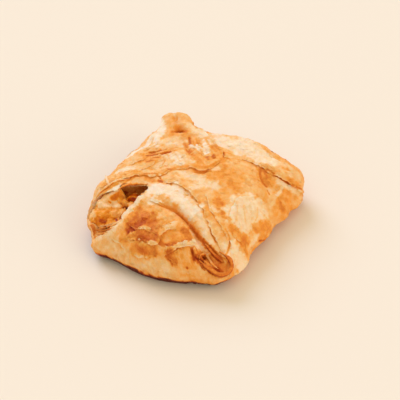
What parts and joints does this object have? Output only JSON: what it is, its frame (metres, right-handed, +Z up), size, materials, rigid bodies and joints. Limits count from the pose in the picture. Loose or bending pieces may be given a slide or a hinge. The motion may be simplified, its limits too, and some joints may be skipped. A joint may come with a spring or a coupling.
{
  "type": "khachapuri",
  "caption": "Square puff-pastry envelope, swollen and browned, with its dough folded over a cheese filling that shows at one open corner.",
  "frame": {"origin": "on the flat base, under the middle of the whole shape's plan", "axes": "+Z up; X and Y along the sides of the square, with the open corner at -X -Y and the raised ear at -X +Y"},
  "size_m": [0.1337, 0.1458, 0.0461],
  "materials": {
    "crust": "baked laminated dough, golden with pale and browned patches, flaky, satin where the wash has set",
    "filling": "baked curd cheese, orange to scorched red-brown, lumpy and slightly greasy"
  },
  "bodies": {
    "root": {"pastry": "crust", "cheese_filling": "filling"}
  },
  "joints": []
}
